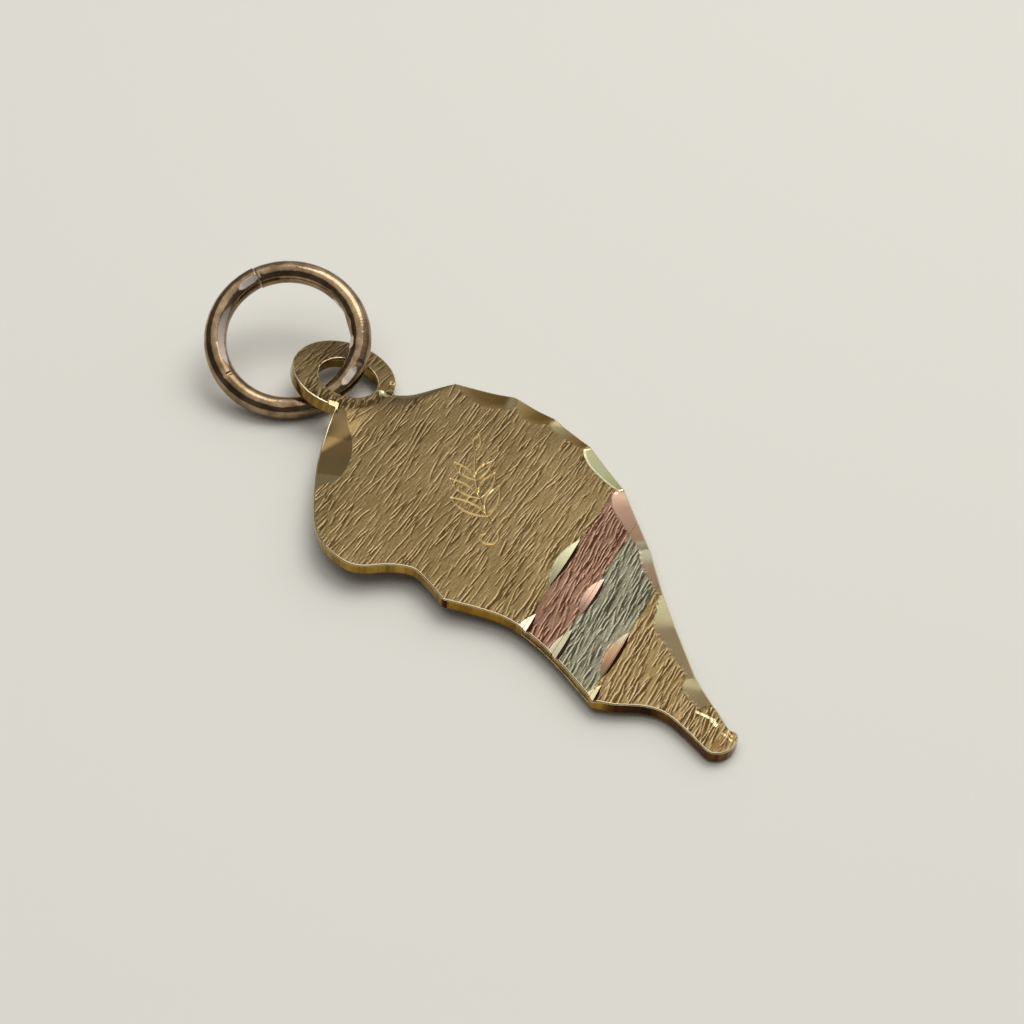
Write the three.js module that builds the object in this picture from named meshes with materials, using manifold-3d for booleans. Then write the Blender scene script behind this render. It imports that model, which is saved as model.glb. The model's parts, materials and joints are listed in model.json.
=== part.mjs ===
// A small gold charm on a jump ring, as it lies on a table.
// The charm is one flat sheet: a round tab with a hole, a wide head and a narrow tail.
// Two strips of coloured gold are let into its tail, and a wire ring hangs in its hole.
// Lengths are in millimetres and angles in degrees.
//
// Plate frame: the origin is on the top face at the hole, x runs across the charm,
// y along it towards the tab, and z up out of the engraved face.
import * as THREE from "three";
import { mergeVertices } from "three/addons/utils/BufferGeometryUtils.js";
import Module from "manifold-3d";

const wasm = await Module();
wasm.setup();

// Sheet and tab
const SHEET = 0.45;
const TAB_RADIUS = 1.9;
const TAB_CENTRE = [0, 0.21];
const HOLE = 2.15;
const COUNTERSINK = 0.13;

// The tab was twisted and bent a little at the neck as the ring was closed.
const TAB_TWIST = 12.8;
const TAB_BEND = 3.45;
const TAB_RISE = 0.08;
const TAB_SHIFT = [-0.05, -0.07];
const NECK_TOP = -1.1;
const NECK_BOTTOM = -2.3;
const NECK_STEPS = 6;

// Outline of the head and tail: the left side in three curves, from the neck to the tip
const SHOULDER = [
  [-1.35, -1.05],
  [-3.2, -2.62],
  [-4.6, -4.3],
  [-5.25, -5.35],
  [-5.42, -6.2],
  [-5.3, -7.05],
  [-4.95, -7.55],
  [-4.3, -7.95],
  [-3.8, -8.4],
  [-3.6, -8.9],
  [-3.67, -10.28],
];
const WAIST = [
  [-2.95, -11.3],
  [-2.48, -12.2],
  [-2.29, -13.3],
  [-2.28, -14.6],
  [-2.43, -16.4],
];
const TAIL = [
  [-1.95, -16.95],
  [-1.3, -17.5],
  [-0.93, -18.05],
  [-0.82, -18.8],
  [-0.83, -20.0],
];
const TIP = [
  [-0.76, -20.2],
  [-0.5, -20.4],
  [-0.17, -20.45],
  [0.16, -20.35],
  [0.38, -20.18],
  [0.4, -20.02],
  [0.31, -19.86],
];
const TIP_END = TIP[TIP.length - 1];

// Right side: straight stretches between the corners that the bright cuts leave
const RIGHT_CORNERS = [
  [0.95, -1.4],
  [1.5, -1.85],
  [2.95, -2.45],
  [4.25, -4.2],
  [4.71, -5.87],
  [4.86, -7.75],
  [4.46, -10.0],
  [3.37, -12.56],
  [2.33, -14.45],
  [0.87, -17.65],
];

// Bright cuts, one on each stretch of the right side and one on the left shoulder.
// A scooped cut is widest in its middle, a planed one at its first end.
const EDGE_CUT_DEPTH = 0.06;
const SCOOPS = [
  { from: RIGHT_CORNERS[1], to: RIGHT_CORNERS[2], width: 0.35 },
  { from: RIGHT_CORNERS[2], to: RIGHT_CORNERS[3], width: 0.8 },
  { from: RIGHT_CORNERS[3], to: RIGHT_CORNERS[4], width: 0.68 },
  { from: RIGHT_CORNERS[4], to: RIGHT_CORNERS[5], width: 0.5 },
  { from: RIGHT_CORNERS[5], to: RIGHT_CORNERS[6], width: 0.52 },
  { from: [-4.25, -3.87], to: [-1.95, -1.6], width: 0.92 },
];
const PLANED = [
  { from: RIGHT_CORNERS[6], to: RIGHT_CORNERS[7], widths: [0.67, 0.36] },
  { from: RIGHT_CORNERS[7], to: RIGHT_CORNERS[8], widths: [0.5, 0.15] },
  { from: RIGHT_CORNERS[8], to: RIGHT_CORNERS[9], widths: [0.75, 0.27] },
  { from: RIGHT_CORNERS[9], to: TIP_END, widths: [0.6, 0.35] },
];

// Coloured strips, side by side in one slanting channel
const BAND_START = -11.7;
const BAND_SLANT = 24.5;
const ROSE_WIDTH = 1.3;
const WHITE_WIDTH = 1.81;
const CHANNEL_DEPTH = 0.3;
const SOLDER_GAP = 0.02;

// Bright V cuts along the strips' borders: one flank is long and shallow, the other steep.
// at is the middle of the cut along its border, and off its distance to the tab side.
const V_DEPTH = 0.1;
const V_SHALLOW = 17.5;
const V_STEEP = 42;
const V_FLANK = 0.5;
const BORDER_CUTS = [
  { border: 0, at: 0.69, off: 0.04, length: 2.47 },
  { border: 0, at: -2.75, off: -0.12, length: 1.9 },
  { border: 1, at: -0.22, off: -0.125, length: 1.87 },
  { border: 1, at: -2.9, off: -0.16, length: 2.25 },
  { border: 2, at: -2.13, off: -0.02, length: 2.33 },
  { border: 2, at: -4.35, off: -0.14, length: 1.8 },
];

// Engraved sprig on the head: a curved stem with pairs of leaves
const SPRIG_CENTRE = [0.9, -7.3];
const SPRIG_HEADING = 62;
const STEM_RADIUS = 4.2;
const STEM_SWEEP = 50;
const STEM_WIDTH = 0.14;
const LEAF_PAIRS = 3;
const LEAF_LENGTH = 0.95;
const LEAF_SPREAD = 38;
const LEAF_OFFSET = 0.5;
const ENGRAVED_DEPTH = 0.05;

// Jump ring: round wire closed butt to butt with a fine saw cut left at the seam
const WIRE = 0.8;
const RING_OUTSIDE = 6.0;
const RING_SEAM = 152;
const SAW_CUT = 0.04;
const WIRE_SIDES = 16;
const RING_STEPS = 96;

// Where the wire crosses the hole, and how the ring leans there, seen from the tab
const WIRE_SHIFT = [0.065, 0.121];
const RING_HEADING = 17.4;
const RING_SLOPE = 34.3;
const RING_ROLL = 7.5;

// How the charm lies: its left side and its tab end are propped up by the ring.
const LIE_SIDEWAYS = 3.46;
const LIE_LENGTHWISE = 1.39;

const ROUND_SIDES = 48;
const WHEEL_SIDES = 128;
const CURVE_STEPS = 3;
const BIG = 4;
const ALMOST_SAME = 1e-4;

const rad = THREE.MathUtils.degToRad;
const ringRadius = (RING_OUTSIDE - WIRE) / 2;

// A matrix that puts a tool's frame at a place, turned by headings about z, then y, then x.
function place([x, y, z = 0], aboutZ = 0, aboutY = 0, aboutX = 0) {
  const turn = new THREE.Euler(rad(aboutX), rad(aboutY), rad(aboutZ), "ZYX");
  return new THREE.Matrix4().makeRotationFromEuler(turn).setPosition(x, y, z);
}

// A closed three.js geometry as a solid that can be joined and cut.
function solid(geometry, matrix = new THREE.Matrix4()) {
  const loose = geometry.index ? geometry.toNonIndexed() : geometry.clone();
  const bare = new THREE.BufferGeometry();
  bare.setAttribute("position", loose.getAttribute("position"));
  bare.applyMatrix4(matrix);
  const merged = mergeVertices(bare, ALMOST_SAME);
  const vertProperties = merged.attributes.position.array;
  const triVerts = new Uint32Array(merged.index.array);
  return new wasm.Manifold(new wasm.Mesh({ numProp: 3, vertProperties, triVerts }));
}

// A solid as a named mesh.
function piece(name, body, material) {
  const { vertProperties, triVerts } = body.getMesh();
  const geometry = new THREE.BufferGeometry();
  geometry.setAttribute("position", new THREE.BufferAttribute(vertProperties, 3));
  geometry.setIndex(new THREE.BufferAttribute(triVerts, 1));
  geometry.computeVertexNormals();
  const mesh = new THREE.Mesh(geometry, material);
  mesh.name = name;
  return mesh;
}

function cutAll(body, tools) {
  return tools.reduce((left, tool) => left.subtract(tool), body);
}

// The tab's own frame in the plate frame
const tabFrame = new THREE.Matrix4()
  .makeRotationFromEuler(new THREE.Euler(rad(TAB_BEND), rad(TAB_TWIST), 0))
  .setPosition(...TAB_SHIFT, TAB_RISE);

// The sheet: a long slab whose top is flat up to the neck and leans with the tab above it
function sheet() {
  const width = 2 * BIG + 2 * BIG;
  const stations = [TIP[1][1] - 1];
  for (let k = 0; k <= NECK_STEPS; k += 1) {
    stations.push(NECK_BOTTOM + ((NECK_TOP - NECK_BOTTOM) * k) / NECK_STEPS);
  }
  stations.push(TAB_CENTRE[1] + TAB_RADIUS + 1);
  const rows = stations.length - 1;
  const slab = new THREE.BoxGeometry(width, rows, SHEET, 8, rows, 1);
  const position = slab.getAttribute("position");
  const tabNormal = new THREE.Vector3().setFromMatrixColumn(tabFrame, 2);
  for (let i = 0; i < position.count; i += 1) {
    const x = position.getX(i);
    const y = stations[Math.round(position.getY(i) + rows / 2)];
    const lean = THREE.MathUtils.smoothstep(y, NECK_BOTTOM, NECK_TOP);
    const across = tabNormal.x * (x - TAB_SHIFT[0]) + tabNormal.y * (y - TAB_SHIFT[1]);
    const rise = TAB_RISE - across / tabNormal.z;
    position.setXYZ(i, x, y, position.getZ(i) - SHEET / 2 + lean * rise);
  }
  return solid(slab);
}

// The outline as a tall block in which the sheet is cut to shape
function outlineBlock() {
  const points = (list) => list.map(([x, y]) => new THREE.Vector2(x, y));
  const shape = new THREE.Shape();
  shape.moveTo(...SHOULDER[0]);
  shape.splineThru(points(SHOULDER.slice(1)));
  shape.splineThru(points(WAIST));
  shape.splineThru(points(TAIL));
  shape.splineThru(points(TIP));
  for (const corner of [...RIGHT_CORNERS].reverse()) {
    shape.lineTo(...corner);
  }
  shape.closePath();
  const depth = 2 * BIG;
  const settings = { depth, bevelEnabled: false, curveSegments: CURVE_STEPS };
  const body = solid(new THREE.ExtrudeGeometry(shape, settings), place([0, 0, -BIG]));
  const disc = new THREE.CylinderGeometry(TAB_RADIUS, TAB_RADIUS, depth, ROUND_SIDES);
  const tabPlace = tabFrame.clone().multiply(place([...TAB_CENTRE, 0], 0, 0, 90));
  return body.add(solid(disc, tabPlace));
}

// The drill for the hole, with its countersinks on both faces
function drill() {
  const half = SHEET / 2;
  const inner = HOLE / 2;
  const outer = inner + COUNTERSINK + SHEET;
  const profile = [
    [0, -half - SHEET],
    [outer, -half - SHEET],
    [inner, COUNTERSINK - half],
    [inner, half - COUNTERSINK],
    [outer, half + SHEET],
    [0, half + SHEET],
  ].map(([x, y]) => new THREE.Vector2(x, y));
  const matrix = tabFrame.clone().multiply(place([0, 0, -half], 0, 0, 90));
  return solid(new THREE.LatheGeometry(profile, ROUND_SIDES), matrix);
}

// The frame of a bright cut on an edge: x along the edge, y outwards and down the cut's slope
function edgeFrame(from, to, widths) {
  const start = new THREE.Vector2(...from);
  const end = new THREE.Vector2(...to);
  const inward = end.clone().sub(start).normalize().rotateAround(new THREE.Vector2(), -Math.PI / 2);
  start.addScaledVector(inward, widths[0]);
  end.addScaledVector(inward, widths[1]);
  const along = end.clone().sub(start);
  const middle = start.add(end).multiplyScalar(0.5);
  const slope = Math.atan2(EDGE_CUT_DEPTH, (widths[0] + widths[1]) / 2);
  const matrix = place([middle.x, middle.y], THREE.MathUtils.radToDeg(along.angle()), 0,
    -THREE.MathUtils.radToDeg(slope));
  return { matrix, slope, length: along.length() };
}

function scoop({ from, to, width }) {
  const { matrix, slope, length } = edgeFrame(from, to, [width, width]);
  const radius = length ** 2 / (8 * width * Math.sin(slope));
  const drum = new THREE.CylinderGeometry(radius, radius, BIG, ROUND_SIDES);
  const stretch = new THREE.BoxGeometry(length, BIG, 2 * BIG);
  return solid(drum, matrix.clone().multiply(place([0, 0, radius]))).intersect(solid(stretch, matrix));
}

function planed({ from, to, widths }) {
  const { matrix, length } = edgeFrame(from, to, widths);
  const block = new THREE.BoxGeometry(length, BIG, BIG);
  return solid(block, matrix.multiply(place([0, 0, BIG / 2])));
}

// A cutting wheel with a V edge, standing on end in a place's xz plane and lowered to a depth
function wheel(matrix, length, depth, shallow, steep) {
  const radius = length ** 2 / (8 * depth) + depth / 2;
  const profile = [
    [0, -V_FLANK],
    [radius - V_FLANK * Math.tan(rad(shallow)), -V_FLANK],
    [radius, 0],
    [radius - V_FLANK * Math.tan(rad(steep)), V_FLANK],
    [0, V_FLANK],
  ].map(([x, y]) => new THREE.Vector2(x, y));
  const turned = new THREE.LatheGeometry(profile, WHEEL_SIDES);
  const lowered = matrix.clone().multiply(place([0, 0, radius - depth], 0, 0, 180));
  return solid(turned, lowered);
}

// A place on the top face in the strips' frame: along a border, and across it to the tab side
function bandPlace(along, across) {
  return place([0, BAND_START], BAND_SLANT).multiply(place([along, across]));
}

function borderCut({ border, at, off, length }) {
  const across = [0, -ROSE_WIDTH, -ROSE_WIDTH - WHITE_WIDTH][border];
  return wheel(bandPlace(at, across + off), length, V_DEPTH, V_SHALLOW, V_STEEP);
}

// A strip across the tail in the strips' frame, from one distance below its start to another
function bandBlock(from, to, floor) {
  const height = floor + BIG;
  const block = new THREE.BoxGeometry(4 * BIG, to - from, height);
  const middle = place([0, -(from + to) / 2, height / 2 - floor]);
  return solid(block, bandPlace(0, 0).multiply(middle));
}

// The engraved sprig: a V groove along an arc, and leaves cut by a small wheel
class Arc extends THREE.Curve {
  constructor(radius, start, sweep) {
    super();
    Object.assign(this, { radius, start, sweep });
  }

  getPoint(t, target = new THREE.Vector3()) {
    const angle = this.start + t * this.sweep;
    return target.set(this.radius * Math.sin(angle), this.radius * (1 - Math.cos(angle)), 0);
  }
}

function sprig() {
  const frame = place(SPRIG_CENTRE, SPRIG_HEADING);
  const sweep = rad(STEM_SWEEP);
  const half = STEM_WIDTH / 2;
  const section = new THREE.Shape();
  section.moveTo(-ENGRAVED_DEPTH, 0);
  section.lineTo(0, -half);
  section.lineTo(ENGRAVED_DEPTH, 0);
  section.lineTo(0, half);
  section.closePath();
  const extrudePath = new Arc(STEM_RADIUS, -sweep / 2, sweep);
  const settings = { extrudePath, steps: 24, bevelEnabled: false };
  const cuts = [solid(new THREE.ExtrudeGeometry(section, settings), frame)];
  for (let k = 0; k < LEAF_PAIRS; k += 1) {
    const angle = sweep * ((k + 0.7) / LEAF_PAIRS - 0.5);
    const base = new Arc(STEM_RADIUS, angle, 0).getPoint(0);
    for (const side of [-1, 1]) {
      const heading = THREE.MathUtils.radToDeg(angle) + side * LEAF_SPREAD;
      const leaf = frame.clone().multiply(place([base.x, base.y], heading));
      leaf.multiply(place([LEAF_OFFSET + LEAF_LENGTH / 2, 0]));
      cuts.push(wheel(leaf, LEAF_LENGTH, ENGRAVED_DEPTH, 35, 35));
    }
  }
  return cuts;
}

// The ring's wire, with the hole's end at the origin, its tangent on x and its centre on y
function ringGeometry() {
  const section = new THREE.Shape();
  for (let k = 0; k < WIRE_SIDES; k += 1) {
    const angle = (2 * Math.PI * k) / WIRE_SIDES;
    const x = (WIRE / 2) * Math.cos(angle);
    const y = (WIRE / 2) * Math.sin(angle);
    section[k ? "lineTo" : "moveTo"](x, y);
  }
  section.closePath();
  const gap = SAW_CUT / ringRadius;
  const extrudePath = new Arc(ringRadius, rad(RING_SEAM) + gap / 2, 2 * Math.PI - gap);
  return new THREE.ExtrudeGeometry(section, { extrudePath, steps: RING_STEPS, bevelEnabled: false });
}

const yellowGold = new THREE.MeshStandardMaterial({ color: "#b39a68", metalness: 1, roughness: 0.45 });
const roseGold = new THREE.MeshStandardMaterial({ color: "#c08a74", metalness: 1, roughness: 0.45 });
const whiteGold = new THREE.MeshStandardMaterial({ color: "#a3a49a", metalness: 1, roughness: 0.45 });
const ringGold = new THREE.MeshStandardMaterial({ color: "#b98e6b", metalness: 1, roughness: 0.2 });

const outline = outlineBlock();
const blank = sheet().intersect(outline);
const stripsEnd = ROSE_WIDTH + WHITE_WIDTH;
const stripFloor = CHANNEL_DEPTH - SOLDER_GAP;
const stripBlank = (from, to) => blank.intersect(bandBlock(from, to, stripFloor));
const edgeCuts = [...SCOOPS.map(scoop), ...PLANED.map(planed)];
const cuts = [...edgeCuts, ...BORDER_CUTS.map(borderCut)];

const plate = cutAll(blank, [drill(), bandBlock(0, stripsEnd, CHANNEL_DEPTH), ...cuts, ...sprig()]);
const rose = cutAll(stripBlank(SOLDER_GAP, ROSE_WIDTH - SOLDER_GAP / 2), cuts);
const white = cutAll(stripBlank(ROSE_WIDTH + SOLDER_GAP / 2, stripsEnd - SOLDER_GAP), cuts);

const charm = new THREE.Group();
charm.rotation.set(rad(LIE_LENGTHWISE), rad(LIE_SIDEWAYS), 0);
charm.add(piece("charm_plate", plate, yellowGold));
charm.add(piece("rose_gold_inlay", rose, roseGold));
charm.add(piece("white_gold_inlay", white, whiteGold));

const tab = new THREE.Group();
tab.applyMatrix4(tabFrame);
charm.add(tab);

const ring = new THREE.Mesh(ringGeometry(), ringGold);
ring.name = "jump_ring";
ring.applyMatrix4(place([...WIRE_SHIFT, -SHEET / 2], RING_HEADING, -RING_SLOPE, RING_ROLL));
tab.add(ring);

// The whole stands with its lowest point on z = 0, and its box is centred on the origin.
const pendant = new THREE.Group();
pendant.add(charm);
pendant.updateMatrixWorld(true);
const box = new THREE.Box3().setFromObject(pendant, true);
const middle = box.getCenter(new THREE.Vector3());
charm.position.set(-middle.x, -middle.y, -box.min.z);

export default pendant;
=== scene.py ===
import json
import math

import bpy
import numpy as np
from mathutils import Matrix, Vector
from mathutils.geometry import delaunay_2d_cdt


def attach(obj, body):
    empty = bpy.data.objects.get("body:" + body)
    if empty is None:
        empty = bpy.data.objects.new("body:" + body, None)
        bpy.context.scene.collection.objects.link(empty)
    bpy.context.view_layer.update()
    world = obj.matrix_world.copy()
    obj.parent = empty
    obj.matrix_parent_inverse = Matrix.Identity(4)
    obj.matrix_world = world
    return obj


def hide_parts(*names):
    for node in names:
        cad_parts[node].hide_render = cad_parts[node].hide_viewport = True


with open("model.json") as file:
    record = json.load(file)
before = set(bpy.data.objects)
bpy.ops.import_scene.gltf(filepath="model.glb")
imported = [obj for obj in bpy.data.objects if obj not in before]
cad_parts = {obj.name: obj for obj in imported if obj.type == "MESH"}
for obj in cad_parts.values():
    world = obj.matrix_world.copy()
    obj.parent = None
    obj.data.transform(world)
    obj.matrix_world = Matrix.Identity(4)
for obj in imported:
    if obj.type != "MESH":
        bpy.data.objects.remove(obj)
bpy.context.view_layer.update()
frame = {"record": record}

# How the charm lies
# The charm is flat sheet, lying face up with its left side and its tab propped on the ring.
# The frame's back face gives the slope of the sheet; the tab was twisted as the ring was closed.
# Lengths are in millimetres in the sheet's own plane: the origin is on the top face at the hole,
# x runs across the charm, y along it towards the tab and z up out of the engraved face.

MM = 0.001
SHEET = 0.45
BACK_POINT = np.array([0.5, -7.0, -SHEET])

back = next(m for m in frame["record"]["mounts"] if m["name"] == "back_face")
sheet_up = -np.array(back["axis"]) / np.linalg.norm(back["axis"])
sheet_along = np.array([0, sheet_up[2], -sheet_up[1]]) / math.hypot(sheet_up[1], sheet_up[2])
sheet_axes = np.array([np.cross(sheet_along, sheet_up), sheet_along, sheet_up])
sheet_origin = np.array(back["pos_m"]) / MM - BACK_POINT @ sheet_axes

TAB_TWIST = math.radians(12.8)
TAB_BEND = math.radians(3.45)
TAB_SHIFT = np.array([-0.05, -0.07, 0.08])
NECK_TOP = -1.1
NECK_BOTTOM = -2.5

twist_cos, twist_sin = math.cos(TAB_TWIST), math.sin(TAB_TWIST)
bend_cos, bend_sin = math.cos(TAB_BEND), math.sin(TAB_BEND)
tab_axes = np.array([
    [twist_cos, bend_sin * twist_sin, -bend_cos * twist_sin],
    [0, bend_cos, bend_sin],
    [twist_sin, -bend_sin * twist_cos, bend_cos * twist_cos],
])


def smooth(value, low, high):
    """0 below low, 1 above high and an S-curve between: three t squared less two t cubed."""
    t = np.clip((value - low) / (high - low), 0, 1)
    return t * t * (3 - 2 * t)


def lay_sheet(points):
    """Points of the flat sheet, in mm, to where they lie, in metres: above the neck a point
    turns and shifts with the tab, below it doesn't, and across the neck it goes from one to the
    other along an S-curve; then the whole sheet takes the slope that the frame gives."""
    lean = smooth(points[:, 1:2], NECK_BOTTOM, NECK_TOP)
    leaned = points * (1 - lean) + (points @ tab_axes + TAB_SHIFT) * lean
    return (sheet_origin + leaned @ sheet_axes) * MM


# Charm plate
# One piece of 0.45 mm yellow gold sheet, sawn to its outline: a round tab with a drilled hole,
# a wide head and a narrow tail. Its face is stroked all over with a coarse stone, and facets,
# V cuts and an engraved sprig are then cut bright into it.

TAB_RADIUS = 1.9
TAB_CENTRE = (0, 0.21)
HOLE_RADIUS = 1.075
HOLE_CHAMFER = 0.05
ARRIS = 0.05
# Steps between the points of the outline and of the lines on the face
EDGE_STEP = 0.07
LINE_STEP = 0.05
SPAN_POINTS = 12
# Long arrays of points are gone through in this many parts, to spare memory
PARTS = 40

SHOULDER = [(-1.39, -1.08), (-3.2, -2.62), (-4.6, -4.3), (-5.25, -5.35), (-5.42, -6.2),
            (-5.3, -7.05), (-4.95, -7.55), (-4.3, -7.95), (-3.8, -8.4), (-3.6, -8.9), (-3.67, -10.28)]
WAIST = [(-3.67, -10.28), (-2.95, -11.3), (-2.48, -12.2), (-2.29, -13.3), (-2.28, -14.6), (-2.43, -16.4)]
TAIL = [(-2.43, -16.4), (-1.95, -16.95), (-1.3, -17.5), (-0.93, -18.05), (-0.82, -18.8), (-0.83, -20.0)]
TIP = [(-0.83, -20.0), (-0.76, -20.2), (-0.5, -20.4), (-0.17, -20.45), (0.16, -20.35), (0.38, -20.18),
       (0.4, -20.02), (0.31, -19.86)]
RIGHT_CORNERS = [(0.98, -1.42), (1.5, -1.85), (2.95, -2.45), (4.25, -4.2), (4.71, -5.87), (4.86, -7.75),
                 (4.46, -10.0), (3.37, -12.56), (2.33, -14.45), (0.87, -17.65), (0.31, -19.86)]


def curve_through(points, count):
    """Catmull-Rom curve through the points: on each span, the cubic whose end slopes are half
    the chord between the neighbours, sampled count times, with the last point at its end."""
    p = np.array(points, float)
    p = np.vstack([p[:1], p, p[-1:]])
    t = np.linspace(0, 1, count, endpoint=False)[None, :, None]
    a, b, c, d = (p[k:len(p) - 3 + k, None] for k in range(4))
    v0, v1 = (c - a) / 2, (d - b) / 2
    curve = (2 * b - 2 * c + v0 + v1) * t ** 3 + (3 * c - 3 * b - 2 * v0 - v1) * t ** 2 + v0 * t + b
    return np.vstack([curve.reshape(-1, 2), p[-1:]])


def evenly(points, step=EDGE_STEP):
    """The same polyline with points an even step apart along its length, both ends kept."""
    p = np.array(points, float)
    run = np.concatenate([[0], np.cumsum(np.hypot(*np.diff(p, axis=0).T))])
    s = np.linspace(0, run[-1], max(2, round(run[-1] / step) + 1))
    return np.column_stack([np.interp(s, run, p[:, 0]), np.interp(s, run, p[:, 1])])


def arc(centre, radius, start, sweep, step=EDGE_STEP):
    """Points on a circle, evenly from one angle through a sweep, in degrees."""
    count = max(2, round(abs(math.radians(sweep)) * radius / step) + 1)
    t = np.radians(start + np.linspace(0, sweep, count))
    return np.column_stack([centre[0] + radius * np.cos(t), centre[1] + radius * np.sin(t)])


def angle_from(centre, point):
    """The direction from a centre to a point, in degrees anticlockwise from the x axis."""
    return math.degrees(math.atan2(point[1] - centre[1], point[0] - centre[0]))


def sheet_outline():
    """The whole outline, anticlockwise from the left of the neck: the left side's curves down
    to the tip, the right side's straight stretches up, and the tab's arc back to the neck."""
    sides = [curve_through(c, SPAN_POINTS) for c in (SHOULDER, WAIST, TAIL, TIP)]
    sides += [RIGHT_CORNERS[k + 1::-1][:2] for k in range(len(RIGHT_CORNERS) - 2, -1, -1)]
    left = angle_from(TAB_CENTRE, SHOULDER[0])
    right = angle_from(TAB_CENTRE, RIGHT_CORNERS[0])
    sides.append(arc(TAB_CENTRE, TAB_RADIUS, right, left + 360 - right))
    return np.vstack([evenly(side)[:-1] for side in sides])


def line_normals(line, closed=False):
    """Unit normals to the right of a line's direction, from the chord between neighbours."""
    if closed:
        chord = np.roll(line, -1, axis=0) - np.roll(line, 1, axis=0)
    else:
        chord = np.gradient(line, axis=0)
    return np.column_stack([chord[:, 1], -chord[:, 0]]) / np.hypot(*chord.T)[:, None]


def inside(points, loop):
    """True where a point lies in a closed loop: a ray to the right crosses it an odd number of times."""
    x, y = points[:, :1], points[:, 1:2]
    x0, y0 = loop.T
    x1, y1 = np.roll(loop, -1, axis=0).T
    crosses = (y0 > y) != (y1 > y)
    at = x0 + (y - y0) * (x1 - x0) / np.where(y1 == y0, 1, y1 - y0)
    return (crosses & (x < at)).sum(axis=1) % 2 == 1


def distance_to(points, line):
    """Distance from each point to the nearest stretch of a polyline."""
    away = np.full(len(points), np.inf)
    for a, b in zip(line, line[1:]):
        t = np.clip((points - a) @ (b - a) / ((b - a) @ (b - a)), 0, 1)
        away = np.minimum(away, np.hypot(*(points - a - t[:, None] * (b - a)).T))
    return away


# The strips' borders: a frame slanting across the tail, with x along a border and y to the tab
BAND_START = -11.7
BAND_SLANT = math.radians(24.5)
ROSE_WIDTH = 1.3
WHITE_WIDTH = 1.81
SOLDER_GAP = 0.012
CHANNEL_DEPTH = 0.3
STRIP_DEPTH = 0.28
BORDERS = [0, -ROSE_WIDTH, -ROSE_WIDTH - WHITE_WIDTH]
band_x = np.array([math.cos(BAND_SLANT), math.sin(BAND_SLANT)])
band_y = np.array([-math.sin(BAND_SLANT), math.cos(BAND_SLANT)])


def band_point(along, across):
    """Points of the strips' frame in the sheet's frame."""
    return np.array([0, BAND_START]) + np.multiply.outer(along, band_x) + np.multiply.outer(across, band_y)


def band_coordinates(xy):
    """Points of the sheet's frame in the strips' frame: along and across."""
    moved = xy - [0, BAND_START]
    return moved @ band_x, moved @ band_y


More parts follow.
